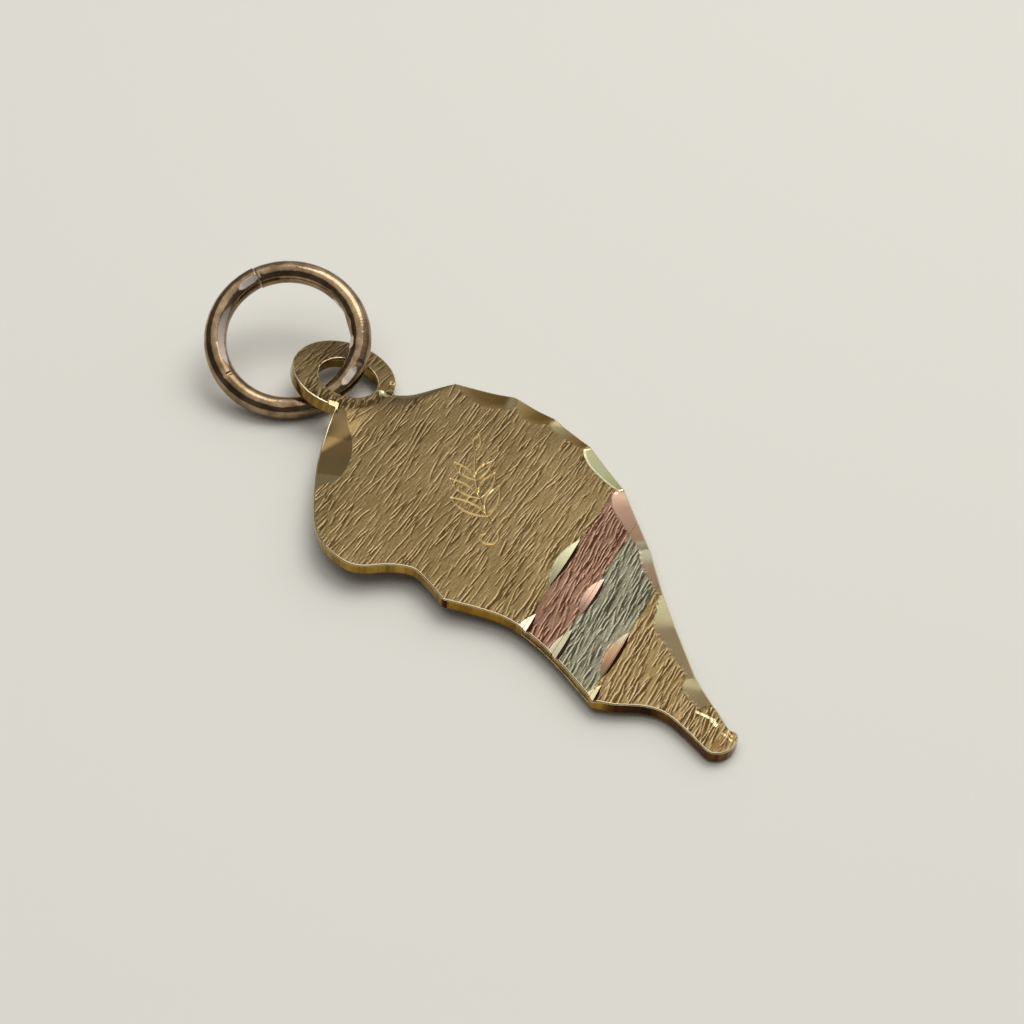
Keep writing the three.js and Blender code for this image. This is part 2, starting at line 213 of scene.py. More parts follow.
# Bright cuts on the edges, clockwise round the charm. border is the cut's inner line on the face;
# from it the cut slopes down to the edge. colours are painted reflections along the cut, the tones
# that stand in for what each facet mirrors, as (share of its length, colour), rim is a steeper bevel
# along the border, whose colour is a painted highlight, and soft is how far in mm the painted colour
# fades in from the border.
CUT_SLOPE = 0.075
EDGE_CUTS = [
    dict(border=[(-4.25, -3.75), (-3.34, -3.84), (-2.81, -3.67), (-2.2, -3.2), (-1.68, -2.5), (-1.5, -2.0),
                 (-1.18, -1.4), (-1.3, -1.1)],
         colours=[(0.2, "#7b6c4a"), (0.21, "#695839"), (0.42, "#625235"), (0.5, "#675334"),
                  (0.64, "#685334"), (0.66, "#54442c"), (1, "#4c3e27")]),
    dict(border=[(0.9, -1.75), (1.25, -2.2), (1.81, -2.39), (2.28, -2.43), (3.0, -2.5)],
         colours=[(0, "#8b7850"), (1, "#7d693f")], soft=0.25),
    dict(border=[(2.9, -2.5), (2.84, -3.1), (2.88, -3.6), (3.14, -4.14), (3.57, -4.53), (3.83, -4.69),
                 (4.3, -4.45)],
         colours=[(0, "#8d784e"), (0.3, "#6f5830"), (0.8, "#604920"), (0.88, "#8c8060"), (1, "#9a9070")],
         soft=0.35),
    dict(border=[(4.22, -4.3), (3.93, -4.74), (3.8, -5.35), (4.2, -5.9), (4.7, -5.95)],
         colours=[(0, "#978b6c"), (0.2, "#86714c"), (0.6, "#6f5628"), (1, "#62481a")], soft=0.25),
    dict(border=[(4.68, -5.95), (4.34, -6.04), (4.25, -6.53), (4.4, -7.18), (4.52, -7.6), (4.8, -7.66)],
         colours=[(0, "#a39674"), (0.4, "#8b7c58"), (0.6, "#7f6240"), (1, "#664621")], soft=0.12),
    dict(border=[(4.52, -7.69), (4.32, -8.03), (4.18, -8.52), (4.15, -9.28), (4.22, -9.85), (4.37, -9.97)],
         colours=[(0, "#a9a47c"), (0.5, "#a4a581"), (1, "#969468")], rim=0.09, rim_highlight_colour="#f0e9c0"),
    dict(border=[(4.03, -9.83), (3.78, -10.05), (3.52, -10.46), (3.25, -11.51), (3.05, -12.36)],
         colours=[(0, "#b89a83"), (0.2, "#a48670"), (0.5, "#977966"), (0.85, "#876c56"), (0.9, "#908b70"),
                  (1, "#726a50")], rim=0.045, rim_highlight_colour="#c09680"),
    dict(border=[(3.05, -12.34), (2.66, -12.9), (2.4, -13.6), (2.2, -14.33)],
         colours=[(0, "#999681"), (0.2, "#8f8a74"), (0.35, "#806c58"), (1, "#725d43")]),
    dict(border=[(2.24, -14.33), (1.71, -14.75), (1.16, -15.27), (0.97, -16.05), (0.86, -16.5),
                 (0.74, -17.02), (0.6, -17.55)],
         colours=[(0, "#8f8867"), (0.28, "#7f775b"), (0.42, "#706249"), (1, "#6b5c44")]),
    dict(border=[(0.6, -17.53), (0.27, -17.65), (0.1, -18.1), (0.08, -18.65)],
         colours=[(0, "#776e53"), (0.5, "#6e6046"), (1, "#67583e")]),
    # These two short cuts at the neck are painted highlights: cream glints at the corners where the tab
    # meets the neck
    dict(border=[(-1.17, -1.0), (-1.45, -0.72)], reach=0.5, slope=0.3,
         colours=[(0, "#a89468")]),
    dict(border=[(0.66, -1.0), (0.5, -1.2)], reach=0.55, slope=0.3,
         colours=[(0, "#cfc49c")]),
]
RIM_DEPTH = 0.02
# A cut or a stroke shallower than this, in mm, doesn't take its painted colour
LEAST_CUT = 1e-5
LEAST_STROKE = 0.001

# V cuts along the strips' borders: a wide shallow flank towards the tab and a steep one below.
# across and at place the cut's middle in the strips' frame.
V_DEPTH = 0.1
V_SHALLOW = math.tan(math.radians(17.5))
V_STEEP = math.tan(math.radians(34))
# For each V cut, colours are the painted reflection on its shallow flank along the cut, and steep is its
# steep flank's painted shade
BORDER_CUTS = [
    dict(across=0.04, at=0.69, length=2.47, colours=[(0, "#878162"), (1, "#9d9a7c")], steep="#4c2208"),
    dict(across=-0.12, at=-2.75, length=1.9, colours=[(0, "#c7b79f"), (1, "#baa18b")], steep="#5e2a14"),
    dict(across=BORDERS[1] - 0.125, at=-0.22, length=1.87,
         colours=[(0, "#927362"), (1, "#b79985")], steep="#5a4034"),
    dict(across=BORDERS[1] - 0.16, at=-2.9, length=2.25,
         colours=[(0, "#8b8571"), (1, "#86806a")], steep="#5c4236"),
    dict(across=BORDERS[2] - 0.02, at=-2.13, length=2.33,
         colours=[(0, "#776f56"), (0.35, "#8c6950"), (0.7, "#8c745b"), (1, "#a7a188")], steep="#4a1c06"),
    dict(across=BORDERS[2] - 0.14, at=-4.35, length=1.8,
         colours=[(0, "#9a9271"), (1, "#a39a74")], steep="#45220c"),
]

# Tool marks struck across the tip: start, end and width in mm, and the colour painted in them, a glint on
# the light marks and shade on the dark ones
TIP_MARKS = [
    ((-0.04, -18.68), (0.09, -19.03), 0.07, "#c7b88b"),
    ((0.09, -19.03), (0.15, -19.21), 0.1, "#ccc096"),
    ((0.15, -19.21), (0.09, -19.44), 0.13, "#d1c8a2"),
    ((0.05, -19.83), (0.07, -20.2), 0.06, "#b8a375"),
    ((0.22, -19.9), (0.18, -20.12), 0.06, "#ae9769"),
    ((-0.1, -19.95), (-0.58, -20.1), 0.09, "#684c2c"),
    ((-0.05, -20.1), (-0.4, -20.24), 0.06, "#6d5336"),
]


def edge_cut_region(cut):
    """A bright cut's inner line, as a smooth curve, and the loop of its whole region, which
    reaches out past the edge of the sheet."""
    line = evenly(curve_through(cut["border"], 8), LINE_STEP)
    along = (line[-1] - line[0]) / np.linalg.norm(line[-1] - line[0])
    outward = np.array([-along[1], along[0]]) * cut.get("reach", 1.0)
    return line, np.vstack([line, line[-1] + outward, line[0] + outward])


edge_regions = [edge_cut_region(cut) for cut in EDGE_CUTS]


def points_in(xy, loop):
    """Which points lie in a closed loop, the loop's box first as it is quicker to test."""
    near = np.flatnonzero(np.all((xy > loop.min(axis=0)) & (xy < loop.max(axis=0)), axis=1))
    return near[inside(xy[near], loop)]


def edge_cut_height(cut, away):
    """Depth of a bright cut at a distance from its inner line: a steady slope, and for a cut
    with a rim a steeper bevel first."""
    depth = away * cut.get("slope", CUT_SLOPE)
    if "rim" in cut:
        depth = depth + RIM_DEPTH * np.clip(away / cut["rim"], 0, 1)
    return -depth


def v_cut_height(cut, xy):
    """The height a V cut leaves, the deeper of its two flanks: its depth falls off with the
    square of the distance from its middle. Also true on the shallow flank's side."""
    along, across = band_coordinates(xy)
    deep = V_DEPTH * (1 - ((along - cut["at"]) / (cut["length"] / 2)) ** 2)
    c = across - cut["across"]
    z = -(deep - np.where(c > 0, c * V_SHALLOW, -c * V_STEEP))
    return np.where(deep > 0, np.minimum(z, 0), 0), c > 0


def cut_height(xy):
    """The lowest height that any bright cut leaves at each point."""
    height = np.zeros(len(xy))
    for cut, (line, loop) in zip(EDGE_CUTS, edge_regions):
        near = points_in(xy, loop)
        height[near] = np.minimum(height[near], edge_cut_height(cut, distance_to(xy[near], line)))
    for cut in BORDER_CUTS:
        height = np.minimum(height, v_cut_height(cut, xy)[0])
    return height


def to_linear(colour):
    """An sRGB hex colour as linear RGBA: below 0.04045 divided by 12.92, above it the 2.4 power."""
    parts = np.array([int(colour[k:k + 2], 16) for k in (1, 3, 5)]) / 255
    linear = np.where(parts <= 0.04045, parts / 12.92, ((parts + 0.055) / 1.055) ** 2.4)
    return (*linear, 1.0)


def colour_along(stops, t):
    """The linear colour at each share of a cut's length, blended between its colour stops."""
    shares = [share for share, _ in stops]
    colours = np.array([to_linear(colour) for _, colour in stops])
    return np.column_stack([np.interp(t, shares, colours[:, k]) for k in range(4)])


def cut_colours(xy):
    """Linear colour painted on the cuts at each point, the painted reflections, highlights and shade of the
    bright cuts, V cuts and tool marks, with 1 as its last number where the face is cut bright and 0 where
    it isn't."""
    colour = np.zeros((len(xy), 4))
    for cut, (line, loop) in zip(EDGE_CUTS, edge_regions):
        near = points_in(xy, loop)
        chord = line[-1] - line[0]
        colour[near] = colour_along(cut["colours"], (xy[near] - line[0]) @ chord / (chord @ chord))
        if "rim" in cut:
            on_rim = near[distance_to(xy[near], line) < cut["rim"]]
            colour[on_rim] = to_linear(cut["rim_highlight_colour"])
        if "soft" in cut:
            colour[near, 3] = np.clip(distance_to(xy[near], line) / cut["soft"], 0, 1)
    for cut in BORDER_CUTS:
        z, shallow = v_cut_height(cut, xy)
        share = (band_coordinates(xy)[0] - cut["at"]) / cut["length"] + 0.5
        cut_here = z < -LEAST_CUT
        colour = np.where((cut_here & shallow)[:, None], colour_along(cut["colours"], share), colour)
        colour = np.where((cut_here & ~shallow)[:, None], to_linear(cut["steep"]), colour)
    for start, end, width, mark in TIP_MARKS:
        on_mark = distance_to(xy, np.array([start, end])) < width / 2
        colour[on_mark] = to_linear(mark)
    return colour


def cut_lines():
    """The lines where the face's slope changes: each cut's borders and the bottom of each V."""
    lines = []
    for cut, (line, loop) in zip(EDGE_CUTS, edge_regions):
        lines.append(line)
        lines.append(evenly([line[-1], loop[-2]], LINE_STEP))
        lines.append(evenly([line[0], loop[-1]], LINE_STEP))
        if "rim" in cut:
            lines.append(line - line_normals(line) * cut["rim"])
    for cut in BORDER_CUTS:
        t = np.linspace(-1, 1, 1 + round(cut["length"] / LINE_STEP))
        deep = V_DEPTH * (1 - t ** 2)
        x = cut["at"] + t * cut["length"] / 2
        for side in (deep / V_SHALLOW, 0 * t, -deep / V_STEEP):
            lines.append(band_point(x, cut["across"]) + np.multiply.outer(side, band_y))
    return lines


# The engraved sprig: a curved stem, slender leaves each drawn with two bowed strokes, and a curl
SPRIG_FOOT = np.array([-0.35, -8.95])
SPRIG_HEADING = math.radians(62)
STEM_LENGTH = 3.9
STEM_BOW = 0.3
LEAF_PLACES = [(0.2, 1.5), (0.42, 1.35), (0.64, 1.1)]
LEAF_SPREAD = math.radians(36)
LEAF_BOW = 0.17
STROKE_WIDTH = 0.1
STROKE_DEPTH = 0.03
BUD_LENGTH = 0.75
BUD_BOWS = (0.14, -0.12)
CURL_COUNT = 40
CURL_TURN = 5.2
CURL_START = 0.44
CURL_END = 0.14
FOOT_LEAN = 0.3
SPRIG_STEP = 0.045
SPRIG_FINE_STEP = 0.015


def bowed(start, heading, length, bow, count=24):
    """A stroke: a parabola of that length and bow, from a start and along a heading."""
    t = np.linspace(0, 1, count)
    x, y = t * length, 4 * bow * t * (1 - t)
    return np.array(start) + np.column_stack([
        x * math.cos(heading) - y * math.sin(heading), x * math.sin(heading) + y * math.cos(heading)])


def sprig_strokes():
    """The stem, the two bowed strokes of each leaf, the bud at the top and the curl at the foot."""
    stem = bowed(SPRIG_FOOT, SPRIG_HEADING, STEM_LENGTH, STEM_BOW, 60)
    strokes = [stem]
    for place, length in LEAF_PLACES:
        base = stem[int(place * (len(stem) - 1))]
        lean = SPRIG_HEADING + math.atan(4 * STEM_BOW / STEM_LENGTH * (1 - 2 * place))
        for side in (-1, 1):
            heading = lean + side * LEAF_SPREAD
            strokes.append(bowed(base, heading, length, LEAF_BOW * length))
            strokes.append(bowed(base, heading, length, -LEAF_BOW * length * 0.7))
    strokes += [bowed(stem[-1], SPRIG_HEADING - FOOT_LEAN, BUD_LENGTH, bow) for bow in BUD_BOWS]
    t = np.linspace(0, 1, CURL_COUNT)
    turn = SPRIG_HEADING + math.pi + FOOT_LEAN - t * CURL_TURN
    radius = CURL_START + (CURL_END - CURL_START) * t
    step = radius[:, None] * np.column_stack([np.cos(turn), np.sin(turn)]) * CURL_TURN / CURL_COUNT
    strokes.append(SPRIG_FOOT + np.vstack([[0, 0], np.cumsum(step, axis=0)]))
    return strokes


sprig = [evenly(stroke, SPRIG_STEP) for stroke in sprig_strokes()]


def stroke_swell(count):
    """How wide a stroke is along its length, from nothing at its ends to 1 in the middle."""
    return np.sin(np.linspace(0.04, 0.96, count) * math.pi) ** 0.5


def sprig_lines():
    """The middle and the two borders of each engraved stroke."""
    lines = []
    for stroke in sprig:
        half = (STROKE_WIDTH / 2 * stroke_swell(len(stroke)))[:, None] * line_normals(stroke)
        lines += [stroke - half, stroke, stroke + half]
    return lines


def stroke_depth(xy):
    """How deep the engraver's strokes are at each point: a V whose half width swells from
    nothing at a stroke's ends to its full width, and whose depth is in proportion."""
    depth = np.zeros(len(xy))
    for stroke in sprig:
        line = evenly(stroke, SPRIG_FINE_STEP)
        low, high = line.min(axis=0) - STROKE_WIDTH, line.max(axis=0) + STROKE_WIDTH
        near = np.flatnonzero(np.all((xy > low) & (xy < high), axis=1))
        away = np.hypot(xy[near, 0, None] - line[:, 0], xy[near, 1, None] - line[:, 1])
        swell = stroke_swell(len(line))[away.argmin(axis=1)]
        v = np.clip(1 - away.min(axis=1) / (STROKE_WIDTH / 2 * swell), 0, 1) * STROKE_DEPTH * swell
        depth[near] = np.maximum(depth[near], v)
    return depth


# The stroked finish: single grooves a few tenths of a millimetre apart, each with a raised burr,
# closer and deeper on the strips and the tail, and short upright ones along the tab's lower rim
GROOVE_SEED = 7
GROOVE_COUNT = 6800
TAB_GROOVES = 46
WANDER = 0.03
BURR_SHARE = 0.5
BURR_OFFSET = 1.6
RAGGED = 0.6
# Groove depth and burr height at which a stroke's painted shade and painted highlight are full
DARKEST_DEPTH = 0.008
BRIGHTEST_BURR = 0.0045
WANDER_SIZE = 0.3
GRAIN_RISE = 0.003
# The stroked finish fades out where a bright cut gets this deep
CUT_FADE = 0.003
# The grain between the strokes: its size along and across them, and its seed
GRAINS = [(0.4, 0.1, 11), (0.12, 0.07, 12)]


def grooves():
    """One row for each groove: middle x and y, heading, length, half width, depth and bow."""
    rng = np.random.default_rng(GROOVE_SEED)
    along = rng.uniform(-7.5, 7.5, GROOVE_COUNT)
    across = rng.uniform(-11.5, 13.5, GROOVE_COUNT)
    middle = band_point(along, 0) + np.multiply.outer(across, band_y)
    coarse = smooth(-across, -1.5, 0.5)
    keep = rng.random(GROOVE_COUNT) < 0.6 + 0.4 * coarse
    heading = BAND_SLANT + np.radians(-1.5 + 4.5 * coarse + rng.normal(0, 5, GROOVE_COUNT))
    length = np.clip(rng.lognormal(-0.25, 0.5, GROOVE_COUNT), 0.25, 2.4)
    width = rng.uniform(0.023, 0.038, GROOVE_COUNT)
    depth = rng.uniform(0.002, 0.013, GROOVE_COUNT) * (1 + 0.3 * coarse)
    bow = rng.normal(0, 0.02, GROOVE_COUNT)
    rows = np.column_stack([middle, heading, length, width, depth, bow])[keep]
    turn = np.radians(np.linspace(178, 292, TAB_GROOVES)) + rng.normal(0, 0.015, TAB_GROOVES)
    reach = rng.uniform(0.35, 0.62, TAB_GROOVES)
    radius = TAB_RADIUS - reach / 2
    rim = np.column_stack([
        TAB_CENTRE[0] + radius * np.cos(turn), TAB_CENTRE[1] + radius * np.sin(turn),
        np.radians(39) + rng.normal(0, 0.1, TAB_GROOVES), reach, rng.uniform(0.03, 0.045, TAB_GROOVES),
        rng.uniform(0.012, 0.02, TAB_GROOVES), np.zeros(TAB_GROOVES)])
    return np.vstack([rows, rim])


def noise(x, y, seed):
    """Smooth value noise: random values on a unit grid, joined by S-curves both ways."""
    grid = np.random.default_rng(seed).random((256, 256))
    x0, y0 = np.floor(x).astype(int), np.floor(y).astype(int)
    tx, ty = smooth(x - x0, 0, 1), smooth(y - y0, 0, 1)
    x0, y0, x1, y1 = x0 % 256, y0 % 256, (x0 + 1) % 256, (y0 + 1) % 256
    low = grid[y0, x0] * (1 - tx) + grid[y0, x1] * tx
    high = grid[y1, x0] * (1 - tx) + grid[y1, x1] * tx
    return low * (1 - ty) + high * ty - 0.5


def stroked_finish(xy):
    """Height and tone of the stroked finish. Each groove is a V that fades out towards its ends,
    with half its depth thrown up as a burr on its upper side, and all of them wander a little;
    the deepest groove and the highest burr win. The tone is painted light: 1, a painted highlight,
    on a crest and -1, painted shade, in a bottom."""
    wander = np.column_stack([noise(*(xy / WANDER_SIZE).T, seed) for seed in (41, 42)])
    order = np.argsort(xy[:, 1])
    x, y = (xy + WANDER * wander)[order].T
    low, high = np.zeros(len(xy)), np.zeros(len(xy))
    for gx, gy, heading, length, width, depth, bow in grooves():
        rise = abs(math.sin(heading)) * length / 2 + 4 * width + abs(bow) + WANDER
        first, last = np.searchsorted(xy[order, 1], (gy - rise, gy + rise))
        dx, dy = x[first:last] - gx, y[first:last] - gy
        u = (dx * math.cos(heading) + dy * math.sin(heading)) / (length / 2)
        v = (dy * math.cos(heading) - dx * math.sin(heading) - bow * (1 - u * u)) / width
        fade = depth * np.clip(1 - u * u, 0, 1) ** 0.5
        low[first:last] = np.maximum(low[first:last], fade * np.clip(1 - np.abs(v), 0, 1))
        burr = BURR_SHARE * fade * np.clip(1 - np.abs(v - BURR_OFFSET), 0, 1)
        high[first:last] = np.maximum(high[first:last], burr)
    along, across = band_coordinates(xy[order])
    ragged = 1 + RAGGED * noise(along / 0.3, across / 0.08, 43)
    low, high = low * ragged, high * ragged
    height, tone = np.empty(len(xy)), np.empty(len(xy))
    height[order] = np.where(low > high, -low, high)
    tone[order] = np.where(low > high, -np.clip(low / DARKEST_DEPTH, 0, 1),
                           np.clip(high / BRIGHTEST_BURR, 0, 1))
    return height, tone


def face_relief(xy):
    """Height of the sheet's top face and tone of its strokes, their painted shade and highlight: the bright
    cuts, or the stroked face less the engraving where nothing is cut, with a fine uneven grain between the
    strokes."""
    cut = cut_height(xy)
    along, across = band_coordinates(xy)
    grain = sum(GRAIN_RISE * noise(along / long, across / wide, seed) for long, wide, seed in GRAINS)
    stroked = 1 - smooth(-cut, 0, CUT_FADE)
    height, tone = stroked_finish(xy)
    return cut + (height + grain) * stroked - stroke_depth(xy), tone * stroked


# The mesh's points: steps along and across the strokes, how far each row is shifted, and how near
# a point may come to a line, all in mm
LONG_STEP = 0.09
CROSS_STEP = 0.021
ROW_SHIFT = 0.001
CLEARANCE = 0.015


def filling_points(loops, lines):
    """Points that fill the sheet between its lines: rows along the strokes, close across them,
    each row shifted by a hair so that no four points share a circle, and none too near a line."""
    low, high = loops[0].min(axis=0), loops[0].max(axis=0)
    reach = np.abs([low, high]).max() + 1
    across = np.arange(-reach, reach, CROSS_STEP)
    along, across = np.meshgrid(np.arange(-reach, reach, LONG_STEP), across)
    along = along + ROW_SHIFT * np.arange(len(along))[:, None]
    points = np.multiply.outer(along.ravel(), band_x) + np.multiply.outer(across.ravel(), band_y)
    points += (low + high) / 2
    points = points[np.all((points > low) & (points < high), axis=1)]
    keep = [inside(part, loops[0]) & ~inside(part, loops[1]) for part in np.array_split(points, PARTS)]
    points = points[np.concatenate(keep)]
    fixed = np.vstack(loops + [evenly(line, 0.03) for line in lines])
    cell = CLEARANCE * 1.5
    width = int(reach / cell) * 2 + 8
    taken = np.zeros((width, width), bool)
    at = np.round(fixed / cell).astype(int) + width // 2
    at = np.clip(at, 1, width - 2)
    for dx in (-1, 0, 1):
        for dy in (-1, 0, 1):
            centre = (at + [dx, dy] - width // 2) * cell
            close = np.hypot(*(centre - fixed).T) < CLEARANCE + cell / 2
            taken[at[close, 0] + dx, at[close, 1] + dy] = True
    spot = np.clip(np.round(points / cell).astype(int) + width // 2, 0, width - 1)
    return points[~taken[spot[:, 0], spot[:, 1]]]


def triangulate(loops, lines, filling):
    """Triangles over the sheet, with every loop and line kept as edges. Returns the points, the
    triangles, the pairs of points on lines, and the place of each loop's points."""
    points, edges, start = [], [], 0
    for k, line in enumerate(loops + lines):
        points.append(line)
        ids = np.arange(start, start + len(line))
        pairs = np.column_stack([ids, np.roll(ids, -1)])
        edges.append(pairs if k < len(loops) else pairs[:-1])
        start += len(line)
    points = np.vstack(points + [filling])
    # type 0 fills the convex hull, points nearer than 1e-5 mm merge, and True asks for old ids
    found = delaunay_2d_cdt([Vector(p) for p in points], np.vstack(edges).tolist(), [], 0, 1e-5, True)
    xy = np.array([tuple(p) for p in found[0]])
    place = np.zeros(len(points), int)
    for new, old in enumerate(found[3]):
        place[old] = new
    triangles = np.array(found[2])
    centres = xy[triangles].mean(axis=1)
    within = np.concatenate([inside(part, loops[0]) for part in np.array_split(centres, PARTS)])
    for hole in loops[1:]:
        within &= ~inside(centres, hole)
    creases = np.array([pair for pair, old in zip(found[1], found[4]) if old])
    ends = np.cumsum([0] + [len(loop) for loop in loops])
    return xy, triangles[within], creases, [place[a:b] for a, b in zip(ends, ends[1:])]


def border_loops(triangles):
    """The closed loops round a set of triangles, each in order, solid to the left."""
    edges = np.vstack([triangles[:, [0, 1]], triangles[:, [1, 2]], triangles[:, [2, 0]]])
    keys = {tuple(e) for e in edges.tolist()}
    following = {a: b for a, b in keys if (b, a) not in keys}
    loops = []
    while following:
        first, loop = next(iter(following)), []
        while first in following:
            loop.append(first)
            first = following.pop(first)
        loops.append(np.array(loop))
    return sorted(loops, key=len, reverse=True)


def sheet_solid(xy, triangles, top, bottom, wall):
    """A closed solid over the triangles: the top face at its heights, a plain bottom at one
    height, and round each loop the rings that wall gives, as (how far out, share of the way
    down, drop). Returns points, triangles, quads, the number of top triangles, the ring of each
    quad, where top points come from, and each quad's place on the sheet."""
    used, triangles = np.unique(triangles, return_inverse=True)
    triangles = triangles.reshape(-1, 3)
    xy, top = xy[used], top[used]
    loops = border_loops(triangles)
    low_xy, low_triangles, _, low_loops = triangulate([xy[loop] for loop in loops], [], np.zeros((0, 2)))
    n = len(used)
    points = [np.column_stack([xy, top]), np.column_stack([low_xy, np.full(len(low_xy), bottom)])]
    faces = [triangles, low_triangles[:, ::-1] + n]
    quads, ring_numbers, places = [], [], []
    count = n + len(low_xy)
    for loop, low_loop in zip(loops, low_loops):
        outward = line_normals(xy[loop], closed=True)
        rings = [loop]
        for out, share, drop in wall(xy[loop]):
            z = top[loop] + (bottom - top[loop]) * share - drop
            points.append(np.column_stack([xy[loop] + outward * np.reshape(out, (-1, 1)), z]))
            rings.append(np.arange(count, count + len(loop)))
            count += len(loop)
        rings.append(low_loop + n)
        for number, (high, low) in enumerate(zip(rings, rings[1:])):
            quads.append(np.column_stack([high, low, np.roll(low, -1), np.roll(high, -1)]))
            ring_numbers.append(np.full(len(loop), number))
            places.append(xy[loop])
    return (np.vstack(points), np.vstack(faces), np.vstack(quads), len(triangles),
            np.concatenate(ring_numbers), used, np.vstack(places))


def make_mesh(name, points, triangles, quads, creases, attributes):
    """A mesh from points, triangles and quads, smooth shaded but for its creases, with named
    colours of its faces and named numbers of its points."""
    mesh = bpy.data.meshes.new(name)
    corners = np.concatenate([triangles.ravel(), quads.ravel()])
    sizes = np.concatenate([np.full(len(triangles), 3), np.full(len(quads), 4)])
    mesh.vertices.add(len(points))
    mesh.vertices.foreach_set("co", points.astype(np.float32).ravel())
    mesh.loops.add(len(corners))
    mesh.loops.foreach_set("vertex_index", corners.astype(np.int32))
    mesh.polygons.add(len(sizes))
    mesh.polygons.foreach_set("loop_start", np.concatenate([[0], np.cumsum(sizes)[:-1]]).astype(np.int32))
    mesh.polygons.foreach_set("use_smooth", np.ones(len(sizes), bool))
    mesh.update(calc_edges=True)
    if len(creases):
        ends = np.empty(len(mesh.edges) * 2, np.int32)
        mesh.edges.foreach_get("vertices", ends)
        ends = np.sort(ends.reshape(-1, 2), axis=1).astype(np.int64)
        wanted = np.sort(creases, axis=1).astype(np.int64)
        sharp = np.isin(ends[:, 0] * len(points) + ends[:, 1], wanted[:, 0] * len(points) + wanted[:, 1])
        mesh.attributes.new("sharp_edge", "BOOLEAN", "EDGE").data.foreach_set("value", sharp)
    for label, values in attributes.items():
        if values.ndim == 2:
            mesh.attributes.new(label, "FLOAT_COLOR", "FACE").data.foreach_set("color", values.ravel())
        else:
            mesh.attributes.new(label, "FLOAT", "POINT").data.foreach_set("value", values)
    piece = bpy.data.objects.new(name, mesh)
    bpy.context.scene.collection.objects.link(piece)
    return piece


outline = sheet_outline()
face_loop = outline - line_normals(outline, closed=True) * ARRIS
hole_loop = arc((0, 0), HOLE_RADIUS + HOLE_CHAMFER, 0, 360, LINE_STEP)[:-1]
band_reach = np.arange(-6, 6, EDGE_STEP)
SOLDER_LINES = [BORDERS[0] - SOLDER_GAP, BORDERS[0], BORDERS[1] - SOLDER_GAP / 2,
                BORDERS[1] + SOLDER_GAP / 2, BORDERS[2], BORDERS[2] + SOLDER_GAP]
solder_lines = [band_point(band_reach, 0) + band_y * across for across in SOLDER_LINES]
face_lines = cut_lines() + sprig_lines() + solder_lines
face_xy, face_triangles, face_creases, _ = triangulate(
    [face_loop, hole_loop], face_lines, filling_points([face_loop, hole_loop], face_lines))
face_top, face_stroke_shading = face_relief(face_xy)
face_centres = face_xy[face_triangles].mean(axis=1)
face_colours = np.vstack([cut_colours(part) for part in np.array_split(face_centres, PARTS)])
# The engraved strokes are painted a light gold, a painted highlight along the bright-cut sprig
face_colours[stroke_depth(face_centres) > LEAST_STROKE] = to_linear("#c9b079")


def add_node(tree, kind, settings=None, **inputs):
    """Adds a node: settings are its properties, and each input is a value or a socket to link."""
    node = tree.nodes.new("ShaderNode" + kind)
    for key, value in (settings or {}).items():
        setattr(node, key, value)
    for key, value in inputs.items():
        socket = node.inputs[int(key[1:])] if key[0] == "_" else node.inputs[key.replace("_", " ")]
        if isinstance(value, bpy.types.NodeSocket):
            tree.links.new(value, socket)
        else:
            socket.default_value = value
    return node


def set_ramp(ramp, *stops):
    """Gives a colour ramp's stops their places and their hex colours."""
    for element, (position, colour) in zip(ramp.color_ramp.elements, stops):
        element.position = position
        element.color = to_linear(colour)


def new_metal(name):
    """A bare metal: the material, its node tree, its shader and the place on the object."""
    material = bpy.data.materials.new(name)
    material.use_nodes = True
    tree = material.node_tree
    shader = tree.nodes["Principled BSDF"]
    shader.inputs["Metallic"].default_value = 1
    return material, tree, shader, add_node(tree, "TexCoord").outputs["Object"]


# How strongly the strokes' painted shade and painted highlight move the colour along the ramp
STROKE_CONTRAST = 0.34
# How far the fine relief stands out, in metres
GRAIN_HEIGHT = 0.000008


